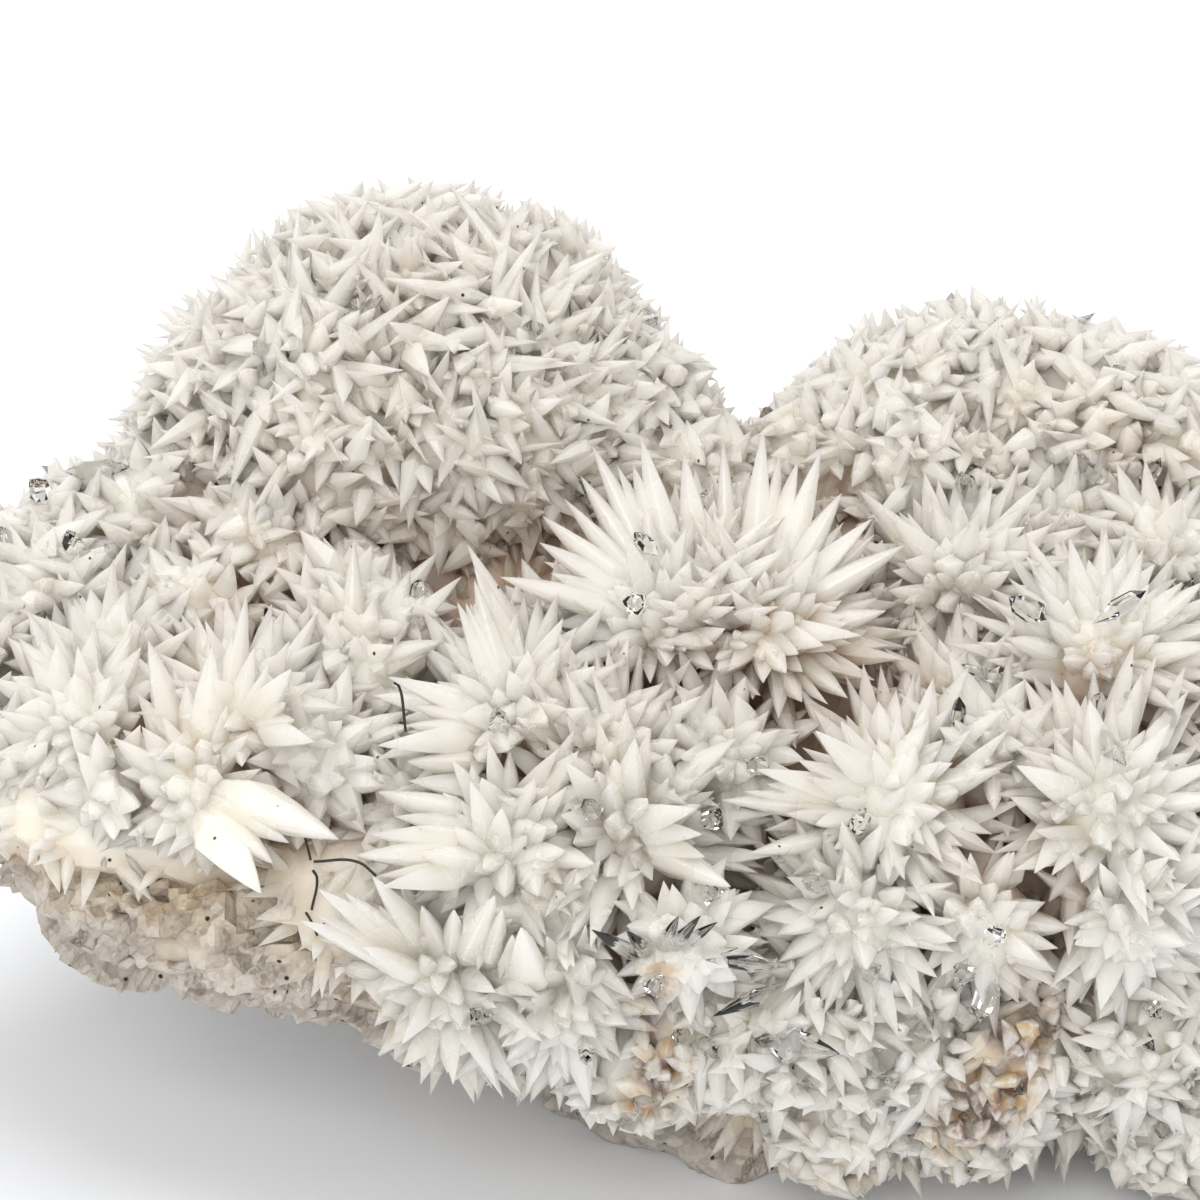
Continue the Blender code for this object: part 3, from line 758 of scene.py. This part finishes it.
def places_on(points, normals, faces, rng):
    """Random places on triangles, and the surface's direction there."""
    places = []
    ways = []
    for face in faces:
        for _ in range(DRUSE_PLACES):
            one, two = sorted((rng.random(), rng.random()))
            shares = (one, two - one, 1.0 - two)
            places.append(sum((points[i] * share for i, share in zip(face, shares)), Vector()))
            ways.append(sum((normals[i] * share for i, share in zip(face, shares)), Vector()).normalized())
    return places, ways


def add_druse():
    rng = random.Random(DRUSE_SEED)
    points, normals, faces = druse_body()
    middles = np.array([sum((points[i] for i in face), Vector()) / 3 for face in faces])
    open_air = (exposed(middles) < DRUSE_BARE) & (nearest_spray(middles) > DRUSE_HIDDEN)
    open_air &= lump_depths(middles) > DRUSE_LEAST
    free = [face for face, is_open in zip(faces, open_air) if is_open]
    places, ways = places_on(points, normals, free, rng)
    shapes = [(points, faces)]
    for i in spaced(places, DRUSE_SPACING, rng):
        root = places[i] - ways[i] * DRUSE_DEPTH
        tip = root + strayed(ways[i], DRUSE_LEAN, rng) * rng.uniform(*DRUSE_LENGTH)
        if tip.z < DRUSE_FLOOR:
            continue
        shapes.append(crystal(root, tip, rng.uniform(*DRUSE_WIDTH), rng, FINE_RINGS, 0.0))
    return grown_together("crystals_druse", shapes)


def box_blur(values, axis, radius):
    """A running mean along one axis of a grid."""
    total = np.cumsum(values, axis=axis)
    ahead = np.roll(total, -radius, axis=axis)
    behind = np.roll(total, radius + 1, axis=axis)
    return (ahead - behind) / (2 * radius + 1)


class FreeSpace:
    """How open the surroundings are, on a coarse grid around the specimen, for the painted shade in the
    hollows.
    """

    def __init__(self):
        self.low = NUCLEI.min(axis=0) - REACHES.max() - SPACE_MARGIN
        high = NUCLEI.max(axis=0) + REACHES.max() + SPACE_MARGIN
        counts = np.ceil((high - self.low) / SPACE_CELL).astype(int)
        axes = [self.low[k] + SPACE_CELL * np.arange(counts[k]) for k in range(3)]
        points = np.stack(np.meshgrid(*axes, indexing='ij'), axis=-1).reshape(-1, 3)
        filled = (nearest_spray(points) < SPACE_FILLED) | (lump_depths(points) < DRUSE_THICKNESS)
        grid = filled.astype(float).reshape(counts)
        for _ in range(2):
            for axis in range(3):
                grid = box_blur(grid, axis, SPACE_BLUR)
        self.grid = 1.0 - grid

    def at(self, points):
        place = (points - self.low) / SPACE_CELL
        cell = np.floor(place).astype(int)
        share = place - cell
        total = np.zeros(len(points))
        for corner in np.ndindex(2, 2, 2):
            weight = np.prod(np.where(corner, share, 1.0 - share), axis=1)
            total += weight * self.grid[tuple((cell + corner).T)]
        return total


def soiled(points):
    """1 along the edge of the calcite, 0 away from it."""
    return np.clip(1.0 - (points[:, 2] - bare_edge(points[:, 0])) / SOIL_HEIGHT, 0.0, 1.0)


def stained(points):
    """1 in the stained places, 0 away from them."""
    amount = np.zeros(len(points))
    for x, y, z, radius in STAINS:
        distance = np.linalg.norm(points - (x, y, z), axis=1)
        amount = np.maximum(amount, STAIN_STRENGTH * (1.0 - distance / radius))
    return np.clip(amount, 0.0, 1.0)


class Look:
    """A material being put together from nodes, with sizes in mm."""

    def __init__(self, name, roughness):
        self.material = bpy.data.materials.new(name)
        self.material.use_nodes = True
        self.tree = self.material.node_tree
        self.shader = self.tree.nodes["Principled BSDF"]
        self.shader.inputs["Roughness"].default_value = roughness
        self.place = self.node("ShaderNodeTexCoord").outputs["Object"]

    def node(self, kind, inputs=(), **properties):
        """A new node, with its inputs given by number or name as a value or another node's output."""
        new = self.tree.nodes.new(kind)
        for name, value in properties.items():
            setattr(new, name, value)
        for key, value in dict(inputs).items():
            self.feed(new.inputs[key], value)
        return new

    def feed(self, socket, value):
        if isinstance(value, bpy.types.NodeSocket):
            self.tree.links.new(value, socket)
        elif isinstance(value, tuple) and len(value) == 3 and socket.type == 'RGBA':
            socket.default_value = (*value, 1.0)
        else:
            socket.default_value = value

    def noise(self, size, detail=2.0):
        inputs = {"Vector": self.place, "Scale": 1.0 / (size * MM), "Detail": detail}
        return self.node("ShaderNodeTexNoise", inputs).outputs["Fac"]

    def cells(self, size, output="Distance"):
        inputs = {"Vector": self.place, "Scale": 1.0 / (size * MM)}
        return self.node("ShaderNodeTexVoronoi", inputs).outputs[output]

    def attribute(self, name):
        return self.node("ShaderNodeAttribute", attribute_name=name).outputs["Fac"]

    def between(self, value, low, high, at_low=0.0, at_high=1.0):
        """The value spread from low..high to at_low..at_high, and held at its ends."""
        inputs = {0: value, 1: low, 2: high, 3: at_low, 4: at_high}
        return self.node("ShaderNodeMapRange", inputs).outputs[0]

    def product(self, one, two):
        return self.node("ShaderNodeMath", {0: one, 1: two}, operation='MULTIPLY').outputs[0]

    def total(self, one, two):
        return self.node("ShaderNodeMath", {0: one, 1: two}, operation='ADD').outputs[0]

    def mix(self, share, one, two):
        return self.node("ShaderNodeMix", {0: share, 6: one, 7: two}, data_type='RGBA').outputs[2]

    def ramp(self, value, stops):
        new = self.node("ShaderNodeValToRGB", {"Fac": value})
        elements = new.color_ramp.elements
        while len(elements) < len(stops):
            elements.new(0.5)
        for element, (position, colour) in zip(elements, stops):
            element.position = position
            element.color = (*colour, 1.0)
        return new.outputs["Color"]

    def bump(self, height, depth):
        inputs = {"Height": height, "Distance": depth * MM, "Strength": 1.0}
        self.feed(self.shader.inputs["Normal"], self.node("ShaderNodeBump", inputs).outputs[0])


def plain(name, colour, roughness):
    look = Look(name, roughness)
    look.feed(look.shader.inputs["Base Color"], colour)
    return look.material


def calcite_material():
    """Milky calcite: painted light makes it pale at the roots and painted shade makes it warmer and darker
    in the hollows, with stains and a few dark specks.
    """
    look = Look("calcite", 0.38)
    cloud = look.between(look.noise(CLOUD_SIZE, 0.0), *CLOUD_STOPS, -CLOUD_DEPTH, CLOUD_DEPTH)
    openness = look.total(look.attribute("openness"), cloud)
    # Painted shade: browner and darker where the surroundings are less open.
    colour = look.ramp(openness, CALCITE_COLOURS_AND_PAINTED_SHADE)
    # Painted light: paler near the roots, where the crystals shade one another, but not in the hollows.
    root = look.between(look.attribute("depth"), *PAINTED_LIGHT_ROOTS, 1.0, 0.0)
    root = look.product(root, look.between(openness, *PAINTED_LIGHT_OPENNESS))
    colour = look.mix(root, colour, PAINTED_LIGHT_ROOT_COLOUR)
    fine = look.noise(VEIL_SIZE)
    coarse = look.noise(RUST_SIZE, 1.0)
    colour = look.mix(look.between(fine, *SOFT_STOPS, *VEIL_SHARES), CALCITE_VEIL, colour)
    soil = look.product(look.attribute("soil"), look.between(fine, *SOFT_STOPS, *SOIL_SHARES))
    colour = look.mix(soil, colour, SOIL_COLOUR)
    stain = look.product(look.attribute("stain"), look.between(fine, *STAIN_STOPS))
    colour = look.mix(stain, colour, look.ramp(coarse, STAIN_COLOURS))
    speck = look.between(look.cells(SPECK_SPACING), *SPECK_EDGE, 1.0, 0.0)
    colour = look.mix(speck, colour, SPECK_COLOUR)
    look.feed(look.shader.inputs["Base Color"], colour)
    look.feed(look.shader.inputs["Roughness"], look.between(coarse, *SOFT_STOPS, *CALCITE_ROUGHNESS))
    look.bump(look.noise(CALCITE_BUMP[0], 1.0), CALCITE_BUMP[1])
    for name, value in CALCITE_CONSTANTS.items():
        look.shader.inputs[name].default_value = value
    return look.material


def clear_material():
    """Small glass-clear calcite crystals."""
    look = Look("clear_calcite", 0.05)
    look.feed(look.shader.inputs["Base Color"], CLEAR_COLOUR)
    look.shader.inputs["Transmission Weight"].default_value = 1.0
    look.shader.inputs["IOR"].default_value = CALCITE_IOR
    return look.material


def matrix_material():
    """Granular rock: a tan speckled strip under the calcite, greyer and more crystalline below."""
    look = Look("matrix", 0.8)
    grain = look.cells(MATRIX_GRAIN_SIZE, "Color")
    mottle = look.noise(MATRIX_MOTTLE_SIZE, 4.0)
    tan = look.ramp(mottle, MATRIX_TAN)
    grey = look.ramp(mottle, MATRIX_GREY)
    height = look.total(look.attribute("above_edge"), look.product(mottle, TAN_STRAY))
    colour = look.mix(look.between(height, *TAN_HEIGHTS), grey, tan)
    light = look.node("ShaderNodeSeparateColor", {0: grain}).outputs[0]
    colour = look.mix(look.between(light, 0.0, 1.0, 0.0, GRAIN_SHARE), colour, MATRIX_GRAIN)
    pores = look.between(look.noise(PORE_SIZE, 3.0), *PORE_STOPS)
    colour = look.mix(look.product(pores, PORE_SHARE), colour, MATRIX_PORES)
    speck = look.between(look.cells(MATRIX_SPECK_SPACING), *MATRIX_SPECK_EDGE, 1.0, 0.0)
    colour = look.mix(speck, colour, SPECK_COLOUR)
    look.feed(look.shader.inputs["Base Color"], colour)
    look.feed(look.shader.inputs["Roughness"], look.between(light, *GLINT_STOPS, *GLINT_ROUGHNESS))
    look.bump(look.total(look.cells(MATRIX_GRAIN_SIZE), look.noise(*MATRIX_FINE_NOISE)), MATRIX_BUMP)
    return look.material


def add_clear_crystals():
    """Clear blades at the front, and short clear crystals with blunt ends all over the sprays."""
    rng = random.Random(CLEAR_SEED)
    shapes = []
    for row in CLEAR_BLADES:
        shapes.append(crystal(Vector(row[:3]), Vector(row[3:6]), row[6], rng, girdles=BIG_GIRDLE))
    number = 0
    for group, sprays in SPRAYS.items():
        for x, y, z, reach in sprays:
            nucleus = Vector((x, y, z))
            drusy = x > DRUSY_PLACE[0] and z < DRUSY_PLACE[1]
            count = CLEAR_DRUSY if drusy else CLEAR_COUNTS.get(group, 0)
            for way in even_directions(count, rng.uniform(0.0, math.tau)):
                way = strayed(way, CLEAR_STRAY, rng)
                tip = nucleus + way * reach * rng.uniform(*CLEAR_REACH)
                root = nucleus + strayed(way, CLEAR_LEAN, rng) * reach * CLEAR_ROOT
                width = rng.uniform(*CLEAR_WIDTH)
                if share_of_another(tip, number) < 1.0 or lump_depth(tip) < LEAST_COVER:
                    continue
                if tip.z > bare_edge(tip.x) + width:
                    shapes.append(crystal(root, tip, width, rng, CLEAR_RINGS, 0.0))
            number += 1
    return grown_together("crystals_clear", shapes)


def fibre(places):
    """A thin tube through a few points, in mm."""
    curve = bpy.data.curves.new("fibre", 'CURVE')
    curve.dimensions = '3D'
    curve.bevel_depth = FIBRE_RADIUS * MM
    curve.bevel_resolution = 1
    curve.use_fill_caps = True
    spline = curve.splines.new('BEZIER')
    spline.bezier_points.add(len(places) - 1)
    for point, place in zip(spline.bezier_points, places):
        point.co = Vector(place) * MM
        point.handle_left_type = 'AUTO'
        point.handle_right_type = 'AUTO'
    obj = bpy.data.objects.new("fibre", curve)
    bpy.context.scene.collection.objects.link(obj)
    graph = bpy.context.evaluated_depsgraph_get()
    mesh = bpy.data.meshes.new_from_object(obj.evaluated_get(graph))
    bpy.data.curves.remove(curve)
    return mesh


def add_fibres(grounds):
    """Thin dark fibres that lie across the crystals in the hollow at the left front."""
    bm = bmesh.new()
    for places in FIBRES:
        points = []
        for place in places:
            place = Vector(place) * MM
            found = [ground.closest_point_on_mesh(place)[1:3] for ground in grounds]
            point, normal = min(found, key=lambda pair: (pair[0] - place).length)
            points.append(point / MM + normal * FIBRE_RADIUS)
        tube = fibre(points)
        bm.from_mesh(tube)
        bpy.data.meshes.remove(tube)
    mesh = bpy.data.meshes.new("dark_fibres")
    bm.to_mesh(mesh)
    bm.free()
    obj = bpy.data.objects.new("dark_fibres", mesh)
    bpy.context.scene.collection.objects.link(obj)
    return obj


def grains_at(points, size):
    """Heights from -0.5 to 0.5 that are the same all over each cell of a broken pattern."""
    heights = []
    for point in points / size:
        _, centres = noise.voronoi(Vector(point))
        heights.append(noise.cell(centres[0] * GRAIN_SCATTER) - 0.5)
    return np.array(heights)


def add_matrix():
    """The bare rock: the part's matrix broken into angular grains, still flat where it rests."""
    mesh = frame["nodes"]["matrix"].data.copy()
    obj = bpy.data.objects.new("matrix_rock", mesh)
    bpy.context.scene.collection.objects.link(obj)
    remesh = obj.modifiers.new("grid", 'REMESH')
    remesh.mode = 'VOXEL'
    remesh.voxel_size = MATRIX_CELL * MM
    graph = bpy.context.evaluated_depsgraph_get()
    fine = bpy.data.meshes.new_from_object(obj.evaluated_get(graph))
    obj.modifiers.clear()
    obj.data = fine
    bpy.data.meshes.remove(mesh)
    points = coordinates(fine)
    normals = np.empty(len(fine.vertices) * 3)
    fine.vertices.foreach_get("normal", normals)
    normals = normals.reshape(-1, 3)
    rise = noise_at(points, MATRIX_LUMP_SIZE) * MATRIX_LUMP_HEIGHT
    for size, height in MATRIX_GRAINS:
        rise += grains_at(points, size) * height
    rise *= np.clip((points[:, 2] - MATRIX_FLAT[0]) / MATRIX_FLAT[1], 0.0, 1.0)
    points += normals * rise[:, None]
    points[:, 2] = np.maximum(points[:, 2], 0.0)
    fine.vertices.foreach_set("co", (points * MM).ravel())
    fine.update()
    store(fine, "above_edge", points[:, 2] - bare_edge(points[:, 0]))
    return obj


def add_camera():
    elevation = math.radians(CAMERA_ELEVATION)
    target = Vector(CAMERA_TARGET) * MM
    away = Vector((0.0, -math.cos(elevation), math.sin(elevation)))
    data = bpy.data.cameras.new("camera")
    data.lens = CAMERA_LENS
    data.sensor_width = SENSOR_WIDTH
    camera = bpy.data.objects.new("camera", data)
    camera.location = target + away * CAMERA_DISTANCE * MM
    camera.rotation_euler = (-away).to_track_quat('-Z', 'Y').to_euler()
    bpy.context.scene.collection.objects.link(camera)
    bpy.context.scene.camera = camera


def add_soft_light(name, place, size, power):
    data = bpy.data.lights.new(name, 'AREA')
    data.shape = 'SQUARE'
    data.size = size
    data.energy = power
    light = bpy.data.objects.new(name, data)
    light.location = place
    light.rotation_euler = (Vector(CAMERA_TARGET) * MM - Vector(place)).to_track_quat('-Z', 'Y').to_euler()
    bpy.context.scene.collection.objects.link(light)


def add_studio():
    bpy.ops.mesh.primitive_plane_add(size=FLOOR_SIZE)
    floor = bpy.context.object
    floor.name = "floor"
    floor.data.materials.append(plain("pale_floor", FLOOR_COLOUR, FLOOR_ROUGHNESS))
    world = bpy.data.worlds.new("studio")
    world.use_nodes = True
    background = world.node_tree.nodes["Background"]
    background.inputs["Color"].default_value = WORLD_COLOUR
    background.inputs["Strength"].default_value = WORLD_STRENGTH
    bpy.context.scene.world = world
    for light in LIGHTS:
        add_soft_light(*light)
    bpy.context.scene.view_settings.view_transform = 'Standard'
    for name, count in LIGHT_PATHS.items():
        setattr(bpy.context.scene.cycles, name, count)


def finish(piece, material, node):
    piece.data.materials.clear()
    piece.data.materials.append(material)
    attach(piece, "root")
    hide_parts(node)


def main():
    add_camera()
    add_studio()
    calcite = calcite_material()
    first = 0
    pieces = []
    for group in SPRAYS:
        pieces.append(add_spray_group(group, first))
        first += len(SPRAYS[group])
    pieces.append(add_druse())
    space = FreeSpace()
    for piece in pieces:
        points = coordinates(piece.data)
        # The openness sets the painted shade in the hollows, and the depth the painted light at the roots.
        store(piece.data, "openness", space.at(points))
        store(piece.data, "depth", nearest_spray(points))
        store(piece.data, "stain", stained(points))
        store(piece.data, "soil", soiled(points))
        finish(piece, calcite, "crystals")
    finish(add_clear_crystals(), clear_material(), "crystals")
    fibres = add_fibres(pieces)
    finish(fibres, plain("dark_fibre", SPECK_COLOUR, FIBRE_ROUGHNESS), "crystals")
    finish(add_matrix(), matrix_material(), "matrix")


main()
